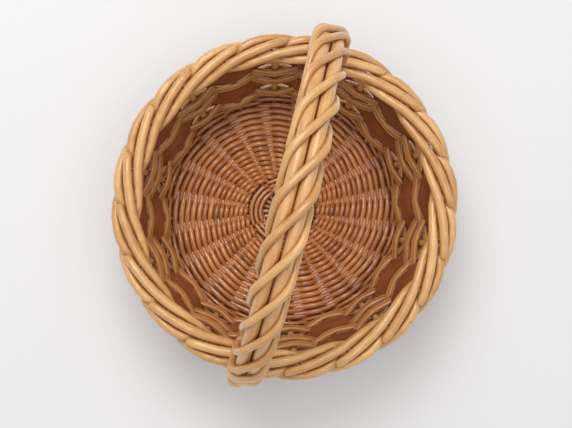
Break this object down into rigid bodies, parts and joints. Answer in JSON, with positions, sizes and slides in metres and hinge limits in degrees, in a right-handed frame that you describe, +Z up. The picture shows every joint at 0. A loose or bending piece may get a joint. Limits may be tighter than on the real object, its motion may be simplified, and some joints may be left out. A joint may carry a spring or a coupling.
{
  "type": "woven market basket",
  "caption": "Small round willow market basket with flared woven wall, hooked rod border and a fixed rod-wrapped bow handle.",
  "frame": {"origin": "on the floor under the middle of the basket, at the bottom centre of the bounding box", "axes": "+Z up out of the mouth, +Y along the plane of the bow handle from foot to foot, +X across the handle"},
  "size_m": [0.2214, 0.2359, 0.211],
  "materials": {
    "base_willow": "reddish tan peeled willow, clear varnish",
    "stake_willow": "smooth buff willow rods, clear gloss varnish",
    "row_willow": "smooth buff willow rods, clear varnish",
    "splint": "flat red-brown splint, fine straight grain, clear varnish",
    "handle_core_willow": "thick pale buff rods, clear gloss varnish",
    "handle_wrap_willow": "thin pale buff rods, clear gloss varnish"
  },
  "bodies": {
    "root": {"base_stick_01": "base_willow", "base_stick_02": "base_willow", "base_stick_03": "base_willow", "base_stick_04": "base_willow", "base_stick_05": "base_willow", "base_stick_06": "base_willow", "base_stick_07": "base_willow", "base_stick_08": "base_willow", "base_stick_09": "base_willow", "base_stick_10": "base_willow", "base_binding": "base_willow", "base_band_1": "base_willow", "base_band_2": "base_willow", "base_band_3": "base_willow", "base_band_4": "base_willow", "base_band_5": "base_willow", "stake_01": "stake_willow", "stake_02": "stake_willow", "stake_03": "stake_willow", "stake_04": "stake_willow", "stake_05": "stake_willow", "stake_06": "stake_willow", "stake_07": "stake_willow", "stake_08": "stake_willow", "stake_09": "stake_willow", "stake_10": "stake_willow", "stake_11": "stake_willow", "stake_12": "stake_willow", "stake_13": "stake_willow", "stake_14": "stake_willow", "stake_15": "stake_willow", "stake_16": "stake_willow", "stake_17": "stake_willow", "stake_18": "stake_willow", "stake_19": "stake_willow", "stake_20": "stake_willow", "upset_row_1": "row_willow", "upset_row_2": "row_willow", "twin_row_1": "row_willow", "twin_row_2": "row_willow", "twin_row_3": "row_willow", "top_row": "row_willow", "splint_strip_lower": "splint", "splint_strip_upper": "splint", "handle_core_1": "handle_core_willow", "handle_core_2": "handle_core_willow", "handle_core_3": "handle_core_willow", "handle_core_4": "handle_core_willow", "handle_wrap_1": "handle_wrap_willow", "handle_wrap_2": "handle_wrap_willow", "handle_wrap_3": "handle_wrap_willow", "handle_wrap_4": "handle_wrap_willow"}
  },
  "joints": []
}
